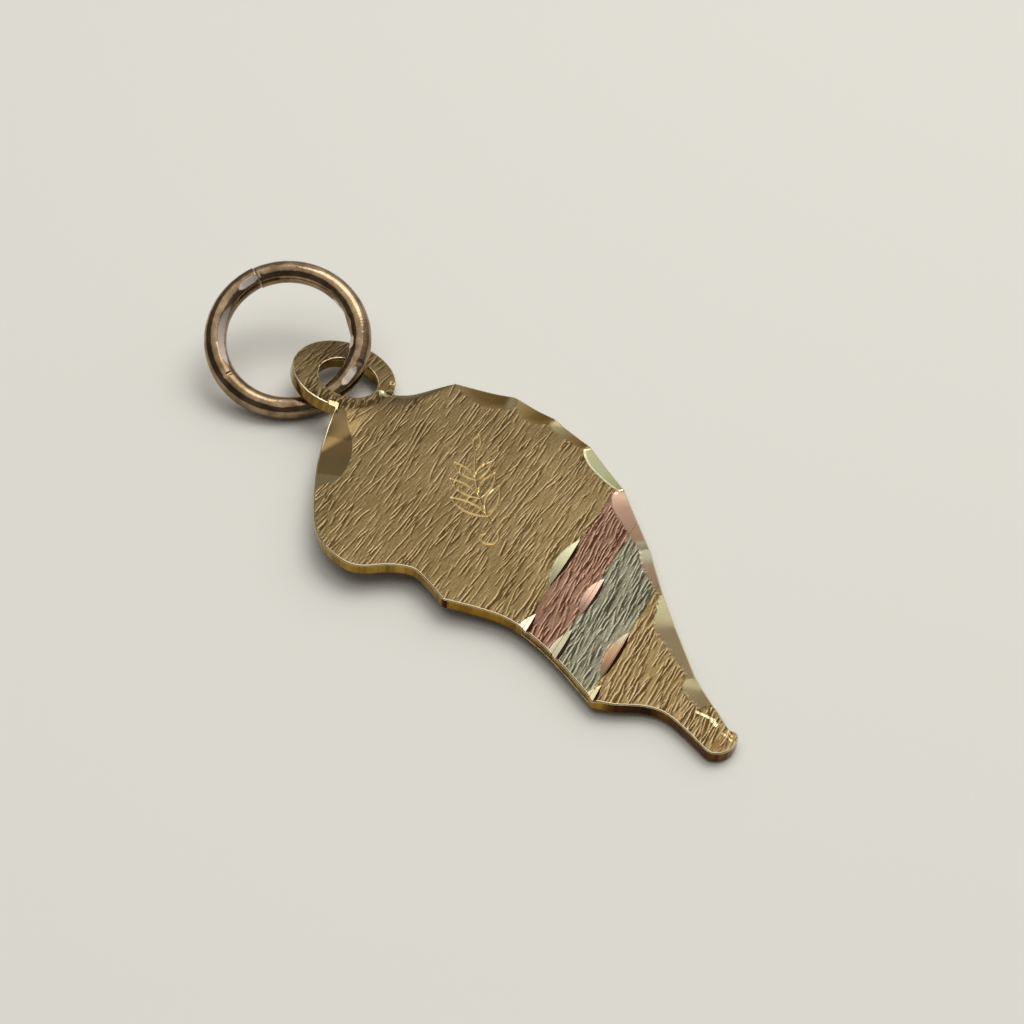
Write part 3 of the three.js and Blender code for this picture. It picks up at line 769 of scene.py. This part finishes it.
def stroked_gold(name, dark, middle, light):
    """Gold alloy sheet, cold rolled, its face stroked with a coarse stone and then cut bright with a
    polished tool. Each groove is painted with shade and each burr with a highlight, so each stroke
    shows as a dark line beside a light one; a bright cut mirrors the room, and its colour is a
    painted reflection of it."""
    material, tree, shader, place = new_metal(name)
    turned = add_node(tree, "VectorRotate", dict(rotation_type="Z_AXIS"),
                      Vector=place, Angle=-BAND_SLANT).outputs["Vector"]
    # hair-fine strokes: 0.04 mm apart and about half a millimetre long
    drawn_out = add_node(tree, "VectorMath", dict(operation="MULTIPLY"),
                         _0=turned, _1=(2000, 26000, 2000)).outputs["Vector"]
    fine = add_node(tree, "TexNoise", Vector=drawn_out,
                    Scale=1.0, Detail=2.0, Roughness=0.6).outputs["Fac"]
    # mottling between the strokes, a few hundredths of a millimetre across
    grain = add_node(tree, "TexNoise", Vector=place, Scale=16000.0, Detail=3.0, Roughness=0.65)
    # handling stains a few millimetres across
    stain = add_node(tree, "TexNoise", Vector=place, Scale=500.0, Detail=4.0, Roughness=0.6)
    cut, edge, stroke = (add_node(tree, "Attribute", dict(attribute_name=label))
                         for label in ("cut_colour", "edge_colour", "stroke_shade_and_highlight"))
    tone = add_node(tree, "Mix", Factor=0.45, _2=grain.outputs["Fac"], _3=fine).outputs[0]
    tone = add_node(tree, "Mix", Factor=0.3, _2=tone, _3=stain.outputs["Fac"]).outputs[0]
    tone = add_node(tree, "Math", dict(operation="MULTIPLY_ADD"),
                    _0=stroke.outputs["Fac"], _1=STROKE_CONTRAST, _2=tone).outputs[0]
    ramp = add_node(tree, "ValToRGB", Fac=tone)
    ramp.color_ramp.elements.new(0.5)
    set_ramp(ramp, (0.2, dark), (0.5, middle), (0.8, light))
    on_cut = add_node(tree, "Mix", dict(data_type="RGBA"), Factor=cut.outputs["Alpha"],
                      _6=ramp.outputs["Color"], _7=cut.outputs["Color"]).outputs[2]
    on_edge = add_node(tree, "Mix", dict(data_type="RGBA"), Factor=edge.outputs["Alpha"],
                       _6=on_cut, _7=edge.outputs["Color"]).outputs[2]
    tree.links.new(on_edge, shader.inputs["Base Color"])
    matt = add_node(tree, "MapRange", Value=grain.outputs["Fac"],
                    From_Min=0.3, From_Max=0.7, To_Min=0.3, To_Max=0.44).outputs["Result"]
    smear = add_node(tree, "MapRange", Value=stain.outputs["Fac"],
                     From_Min=0.3, From_Max=0.7, To_Min=0.22, To_Max=0.34).outputs["Result"]
    rough = add_node(tree, "Mix", Factor=cut.outputs["Alpha"], _2=matt, _3=smear).outputs[0]
    rough = add_node(tree, "Mix", Factor=edge.outputs["Alpha"], _2=rough, _3=0.16).outputs[0]
    tree.links.new(rough, shader.inputs["Roughness"])
    strength = add_node(tree, "Math", dict(operation="MULTIPLY_ADD"),
                        _0=cut.outputs["Alpha"], _1=-0.38, _2=0.45).outputs[0]
    height = add_node(tree, "Math", dict(operation="MULTIPLY_ADD"),
                      _0=grain.outputs["Fac"], _1=0.6, _2=fine).outputs[0]
    bump = add_node(tree, "Bump", Strength=strength, Distance=GRAIN_HEIGHT, Height=height)
    tree.links.new(bump.outputs["Normal"], shader.inputs["Normal"])
    return material


WALL_STREAK = 0.008
streak_rng = np.random.default_rng(5)
# A rounded edge in two steps: share of its width out and of its depth down
ROUND_STEPS = [(0.75, 0.28), (1.0, 0.8)]


def edge_wall(loop):
    """Rings down the sawn edge: a small arris above and below and, between them, a wall with
    upright saw streaks; the hole, whose loop is the one close round the origin, has no streaks."""
    in_hole = np.hypot(*loop.T).max() < 1.3 * HOLE_RADIUS
    depth = HOLE_CHAMFER if in_hole else ARRIS
    streak = WALL_STREAK * (streak_rng.random(len(loop)) - 0.5) * (not in_hole)
    rings = [(out * depth, 0.0, down * depth) for out, down in ROUND_STEPS]
    rings += [(depth + streak, share, 0.0) for share in (0.3, 0.5, 0.75)]
    rings += [(depth, 1.0, -depth), (0.7 * depth, 1.0, -0.3 * depth)]
    return rings


# Painted highlights along the arrises: a bright line at the top and a dimmer one at the bottom
TOP_ARRIS_HIGHLIGHT = np.array(to_linear("#e8d8ae"))
BOTTOM_ARRIS_HIGHLIGHT = np.array(to_linear("#a88a50"))

# The sawn edge's dark and light gold at places along the charm, the first number being y in mm:
# painted reflection of the table and painted shade, darkest near y -17 and at a nick near y -10.3
WALL_COLOURS = [(-20.6, "#4a2c10", "#a8843c"), (-19.9, "#3c1c08", "#6a4216"), (-18.2, "#3e220c", "#7e5220"),
                (-17.6, "#1e0e06", "#45260f"), (-16.9, "#241208", "#4e2c12"), (-16.5, "#7a5a14", "#b08a2e"),
                (-13.0, "#6a4a10", "#a8802c"), (-10.38, "#6c4c12", "#a8802c"),
                (-10.32, "#240c06", "#3c1a0e"), (-10.2, "#240c06", "#3c1a0e"),
                (-10.1, "#6c4c12", "#a8802c"), (-9.0, "#7c5c1e", "#b08c3c"),
                (0.0, "#6e5424", "#a88a4c")]


def edge_colours(ring_numbers, places):
    """Colours of the sawn edge's quads: a painted highlight on the top arris and a dimmer one on the bottom
    arris and, on the wall, upright streaks between a dark and a light gold that change from tip to tab
    and paint in the wall's reflection and shade."""
    mix = 0.5 + sum(0.7 * noise(*(places / size).T, seed) for size, seed in ((0.3, 31), (0.09, 32)))
    mix = np.clip(mix, 0, 1)[:, None]
    ends = [colour_along([(row[0], row[k]) for row in WALL_COLOURS], places[:, 1]) for k in (1, 2)]
    wall = ends[0] + (ends[1] - ends[0]) * mix
    last = ring_numbers.max()
    wall = np.where((ring_numbers > last - 2)[:, None], BOTTOM_ARRIS_HIGHLIGHT, wall)
    return np.where((ring_numbers < 2)[:, None], TOP_ARRIS_HIGHLIGHT, wall)


def sheet_piece(name, triangles, top, bottom, wall):
    """A piece of the sheet over some of the face's triangles, laid in its place."""
    points, faces, quads, top_count, rings, used, places = sheet_solid(
        face_xy, face_triangles[triangles], top, bottom, wall)
    cut_colour = np.zeros((len(faces) + len(quads), 4), np.float32)
    cut_colour[:top_count] = face_colours[triangles]
    cut_colour[len(faces):, 3] = 1
    edge_colour = np.zeros_like(cut_colour)
    edge_colour[len(faces):] = edge_colours(rings, places)
    # Per point, the strokes' painted shade in the grooves and painted highlight on the burrs
    stroke_shade_and_highlight = np.zeros(len(points), np.float32)
    stroke_shade_and_highlight[:len(used)] = face_stroke_shading[used]
    place = np.full(len(face_xy), -1)
    place[used] = np.arange(len(used))
    creases = place[face_creases]
    creases = creases[(creases >= 0).all(axis=1)]
    return make_mesh(name, lay_sheet(points), faces, quads, creases,
                     dict(cut_colour=cut_colour, edge_colour=edge_colour, stroke_shade_and_highlight=stroke_shade_and_highlight))


_, face_across = band_coordinates(face_xy)
in_channel = (face_across < BORDERS[0] - SOLDER_GAP / 2) & (face_across > BORDERS[2] + SOLDER_GAP / 2)
plate = sheet_piece("charm_sheet", np.arange(len(face_triangles)),
                    np.where(in_channel, -CHANNEL_DEPTH, face_top), -SHEET, edge_wall)
yellow_gold = stroked_gold("stroked_yellow_gold", "#49361a", "#786542", "#a8916d")
plate.data.materials.append(yellow_gold)
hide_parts("charm_plate")
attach(plate, "charm")


# Coloured strips
# Two strips of rose and white gold sheet, laid side by side in the slanting channel, soldered
# down, filed flush with the outline and stroked over with the plate, so the strokes run through.


def strip(name, high, low):
    """The part of the sheet's face between two borders, as a solid down to the channel's solder."""
    _, across = band_coordinates(face_centres)
    triangles = np.flatnonzero((across < high) & (across > low))

    def wall(loop):
        """Rings down the strip's side: rounded at the sawn edge and straight at the solder."""
        _, across = band_coordinates(loop)
        at_edge = (across < high - 0.005) & (across > low + 0.005)
        out = np.where(at_edge, ARRIS, 0)
        rounded = [(share * out, 0.0, down * out) for share, down in ROUND_STEPS]
        return rounded + [(out, 0.6, 0.0), (out, 1.0, -0.001), (0.9 * out, 1.0, 0.0)]

    return sheet_piece(name, triangles, face_top, -STRIP_DEPTH, wall)


rose = strip("rose_gold_strip", BORDERS[0] - SOLDER_GAP, BORDERS[1] + SOLDER_GAP / 2)
rose.data.materials.append(stroked_gold("stroked_rose_gold", "#3e2216", "#765947", "#a9866f"))
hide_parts("rose_gold_inlay")
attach(rose, "charm")

white = strip("white_gold_strip", BORDERS[1] - SOLDER_GAP / 2, BORDERS[2] + SOLDER_GAP)
white.data.materials.append(stroked_gold("stroked_white_gold", "#3a3628", "#6c6855", "#9c9881"))
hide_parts("white_gold_inlay")
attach(white, "charm")


# Jump ring
# One turn of 0.8 mm drawn gold wire, wound on a 4.4 mm rod, cut with a fine saw and closed butt
# to butt with pliers, which left flats and nicks. It passes through the hole in the tab.

WIRE = 0.8
RING_RADIUS = 2.6
RING_SEAM = math.radians(152)
SAW_CUT = 0.02
WIRE_SHIFT = np.array([0.065, 0.121, -SHEET / 2])
RING_HEADING = math.radians(17.4)
RING_SLOPE = math.radians(34.3)
RING_ROLL = math.radians(7.5)


def ring_axes():
    """The ring's directions in the tab's frame: x is the wire's tangent in the hole, y points
    from the hole to the ring's centre, and z is the ring's axis."""
    tangent = np.array([math.cos(RING_SLOPE) * math.cos(RING_HEADING),
                        math.cos(RING_SLOPE) * math.sin(RING_HEADING), math.sin(RING_SLOPE)])
    level = np.array([-math.sin(RING_HEADING), math.cos(RING_HEADING), 0])
    towards = math.cos(RING_ROLL) * level + math.sin(RING_ROLL) * np.cross(tangent, level)
    return np.array([tangent, towards, np.cross(tangent, towards)])


# Marks on the wire: the angle round the ring from the hole and the angle round the wire, in
# degrees, with 0 at the outside and 90 on top; then the mark's length and width in mm and its depth
MARKS = [
    (83, 165, 0.5, 0.4, 0.05),
    (66, 180, 0.8, 0.5, 0.05),
    (52, 150, 0.5, 0.3, 0.025),
    (38, 178, 0.7, 0.45, 0.045),
    (24, 140, 0.5, 0.3, 0.02),
    (-109, 110, 0.16, 0.5, 0.03),
    (15, 60, 0.2, 0.25, 0.03),
    (150, 100, 0.2, 0.3, 0.03),
    (-60, 95, 0.7, 0.3, 0.015),
    (110, 60, 1.1, 0.3, 0.015),
]


# Flats on the wire, filed and pressed, the last one worn where it hangs in the tab's hole: the
# angles round the ring where each starts and ends, the angle round the wire that it faces and
# its depth in mm
FLATS = [(150, 172, 108, 0.025), (184, 246, 130, 0.03), (58, 86, 178, 0.035), (24, 40, 150, 0.035),
         (-8, 12, 75, 0.025), (2, 45, 260, 0.1)]

# Where a flat's depth fades out, as shares of half its length
FLAT_FADE = (0.4, 1.1)

# The wire's waviness: height in mm, waves in a radian round the ring and round the wire, and seed
WAVES = [(0.004, 14, 1.2, 21), (0.003, 60, 3, 22)]
# How far the wire's ends are rounded over, and how far one stands proud of the other: mm off or
# out, and over what length in mm it fades
END_ROUND = (0.02, 0.015)
END_PROUD = (0.03, 0.5)


def ring_surface(around=1000, across=72):
    """The wire's skin on a grid: the first number runs round the ring from one side of the saw
    cut to the other, the second round the wire. The radius is the wire's, less each plier mark's
    smooth hollow, plus a drawn wire's slight waviness, and no more than each flat leaves: the
    flat's distance over the cosine of the angle from it. One end stands a little proud of the
    other, and each end is rounded over at the cut. Also where the wire is flat, from 0 to 1."""
    gap = SAW_CUT / RING_RADIUS
    a = np.linspace(RING_SEAM + gap / 2, RING_SEAM + 2 * math.pi - gap / 2, around)[:, None]
    b = np.linspace(0, 2 * math.pi, across, endpoint=False)[None, :]
    radius = np.full((around, across), WIRE / 2)
    for at, side, length, width, depth in MARKS:
        along = (a - math.radians(at) + math.pi) % (2 * math.pi) - math.pi
        turn = (b - math.radians(side) + math.pi) % (2 * math.pi) - math.pi
        far = (along * RING_RADIUS / (length / 2)) ** 2 + (turn * WIRE / 2 / (width / 2)) ** 2
        radius -= depth * np.exp(-far * 1.3)
    for height, long_waves, cross_waves, seed in WAVES:
        radius += height * noise(a * long_waves + 0 * b, b * cross_waves + 0 * a, seed)
    flat = np.zeros((around, across))
    for first, last, side, depth in FLATS:
        middle, half = math.radians(first + last) / 2, math.radians(last - first) / 2
        along = np.abs((a - middle + math.pi) % (2 * math.pi) - math.pi) / half
        away = WIRE / 2 - depth * (1 - smooth(along, *FLAT_FADE)) + WIRE / 4 * (along > FLAT_FADE[1])
        limit = away / np.clip(np.cos(b - math.radians(side)), 0.3, 1)
        flat = np.maximum(flat, smooth(radius - limit, 0, 0.01))
        radius = np.minimum(radius, limit)
    end = np.minimum(a - a[0], a[-1] - a) * RING_RADIUS
    radius -= END_ROUND[0] * np.exp(-end / END_ROUND[1])
    proud = END_PROUD[0] * np.exp(-(a - a[0]) * RING_RADIUS / END_PROUD[1])
    out = RING_RADIUS + proud + radius * np.cos(b)
    x, y, z = out * np.sin(a), RING_RADIUS - out * np.cos(a), radius * np.sin(b) + 0 * a
    return np.stack([x, y, z], axis=-1), flat


def closed_tube(grid):
    """Points, triangles and quads of a tube from its grid, with a fan over each open end, and
    the pairs of points round the two ends."""
    rows, columns, _ = grid.shape
    points = np.vstack([grid.reshape(-1, 3), grid[0].mean(axis=0), grid[-1].mean(axis=0)])
    ids = np.arange(rows * columns).reshape(rows, columns)
    right = np.roll(ids, -1, axis=1)
    quads = np.stack([ids[:-1], ids[1:], right[1:], right[:-1]], axis=-1).reshape(-1, 4)
    first = np.column_stack([ids[0], right[0], np.full(columns, rows * columns)])
    last = np.column_stack([right[-1], ids[-1], np.full(columns, rows * columns + 1)])
    rims = np.vstack([np.column_stack([ids[k], right[k]]) for k in (0, -1)])
    return points, np.vstack([first, last]), quads, rims


def worn_ring_gold():
    """Drawn gold wire, once polished: it mirrors the table and the lamp in long bands along the
    wire, dulled by fine handling scratches, with brown stains over it."""
    material, tree, shader, place = new_metal("drawn_gold_wire")
    stain = add_node(tree, "TexNoise", Vector=place, Scale=1400.0, Detail=4.0, Roughness=0.6)
    ramp = add_node(tree, "ValToRGB", Fac=stain.outputs["Fac"])
    set_ramp(ramp, (0.35, "#6f5a42"), (0.65, "#a88f70"))
    # The flats are painted a light cream, a painted highlight standing in for the light they mirror
    flat = add_node(tree, "Attribute", dict(attribute_name="flat")).outputs["Fac"]
    colour_with_flat_highlight = add_node(tree, "Mix", dict(data_type="RGBA"), Factor=flat,
                       _6=ramp.outputs["Color"], _7=to_linear("#e6d6c6")).outputs[2]
    tree.links.new(colour_with_flat_highlight, shader.inputs["Base Color"])
    scratch = add_node(tree, "TexNoise", Vector=place, Scale=12000.0, Detail=3.0, Roughness=0.7)
    rough = add_node(tree, "MapRange", Value=scratch.outputs["Fac"],
                     From_Min=0.3, From_Max=0.7, To_Min=0.07, To_Max=0.14).outputs["Result"]
    rough = add_node(tree, "Math", dict(operation="MULTIPLY_ADD"),
                     _0=flat, _1=0.25, _2=rough).outputs[0]
    tree.links.new(rough, shader.inputs["Roughness"])
    bump = add_node(tree, "Bump", Strength=0.1, Distance=GRAIN_HEIGHT, Height=scratch.outputs["Fac"])
    tree.links.new(bump.outputs["Normal"], shader.inputs["Normal"])
    return material


ring_grid, ring_flat = ring_surface()
ring_points, ring_triangles, ring_quads, ring_rims = closed_tube(ring_grid)
ring_in_tab = ring_points @ ring_axes() + WIRE_SHIFT
ring_in_sheet = ring_in_tab @ tab_axes + TAB_SHIFT
ring = make_mesh("jump_ring_wire", (sheet_origin + ring_in_sheet @ sheet_axes) * MM,
                 ring_triangles, ring_quads, ring_rims,
                 dict(flat=np.append(ring_flat, [0, 0]).astype(np.float32)))
ring.data.materials.append(worn_ring_gold())
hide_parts("jump_ring")
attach(ring, "ring")


# Table, light and camera
# A plain pale table top, a soft lamp at the right, another overhead, and a room that is bright on
# the right and dark on the other sides, which draws light and dark bands along the polished wire.

FLOOR_HALF = 0.6
floor_mesh = bpy.data.meshes.new("table_top")
floor_corners = [(x * FLOOR_HALF, y * FLOOR_HALF, 0) for x, y in ((-1, -1), (1, -1), (1, 1), (-1, 1))]
floor_mesh.from_pydata(floor_corners, [], [(0, 1, 2, 3)])
floor = bpy.data.objects.new("table_top", floor_mesh)
bpy.context.scene.collection.objects.link(floor)
floor_material = bpy.data.materials.new("pale_matt_card")
floor_material.use_nodes = True
floor_shader = floor_material.node_tree.nodes["Principled BSDF"]
floor_shader.inputs["Base Color"].default_value = to_linear("#f0ede2")
floor_shader.inputs["Roughness"].default_value = 0.85
floor_mesh.materials.append(floor_material)


def towards(azimuth, elevation):
    """The direction from the table to something seen at that azimuth and elevation."""
    return np.array([math.sin(azimuth) * math.cos(elevation), -math.cos(azimuth) * math.cos(elevation),
                     math.sin(elevation)])


world = bpy.data.worlds.new("room")
bpy.context.scene.world = world
world.use_nodes = True
room = world.node_tree
BRIGHT_SIDE = towards(math.radians(107), math.radians(48))
direction = add_node(room, "TexCoord").outputs["Generated"]
nearness = add_node(room, "VectorMath", dict(operation="DOT_PRODUCT"),
                    _0=direction, _1=tuple(BRIGHT_SIDE)).outputs["Value"]
fade = add_node(room, "ValToRGB", Fac=nearness)
# nearness to the bright side, 1 in its middle, and how bright the room is there
ROOM_LEVELS = [(0.0, 0.12), (0.45, 0.17), (0.8, 0.55), (0.96, 0.95)]
fade.color_ramp.elements.new(0.5)
fade.color_ramp.elements.new(0.8)
for element, (position, level) in zip(fade.color_ramp.elements, ROOM_LEVELS):
    element.position = position
    element.color = (level, level, level, 1)
room.links.new(fade.outputs["Color"], room.nodes["Background"].inputs["Color"])

CAMERA_TARGET = np.array([1.325, -0.435, 0.0]) * MM
CAMERA_AZIMUTH = math.radians(-38.84)
CAMERA_ELEVATION = math.radians(47.84)
CAMERA_DISTANCE = 79.4 * MM
LENS = 81.2
SENSOR = 36.0


def aim(thing, position, target):
    """Places a camera or a lamp and turns it to look at a target."""
    thing.location = Vector(position)
    thing.rotation_euler = Vector(target - position).to_track_quat("-Z", "Y").to_euler()
    bpy.context.scene.collection.objects.link(thing)


# name, azimuth and elevation in degrees, distance and size in metres, and watts
LAMPS = [("side_lamp", 101, 62, 0.2, 0.14, 0.115), ("top_lamp", -160, 84, 0.25, 0.32, 0.18)]
for name, azimuth, elevation, distance, size, watts in LAMPS:
    lamp_data = bpy.data.lights.new(name, "AREA")
    lamp_data.shape = "DISK"
    lamp_data.size = size
    lamp_data.energy = watts
    lamp = bpy.data.objects.new(name, lamp_data)
    from_target = towards(math.radians(azimuth), math.radians(elevation)) * distance
    aim(lamp, CAMERA_TARGET + from_target, CAMERA_TARGET)

camera_data = bpy.data.cameras.new("camera")
camera_data.lens = LENS
camera_data.sensor_width = SENSOR
camera_data.clip_start = 0.001
camera = bpy.data.objects.new("camera", camera_data)
aim(camera, CAMERA_TARGET + towards(CAMERA_AZIMUTH, CAMERA_ELEVATION) * CAMERA_DISTANCE, CAMERA_TARGET)
bpy.context.scene.camera = camera
bpy.context.scene.view_settings.view_transform = "Standard"
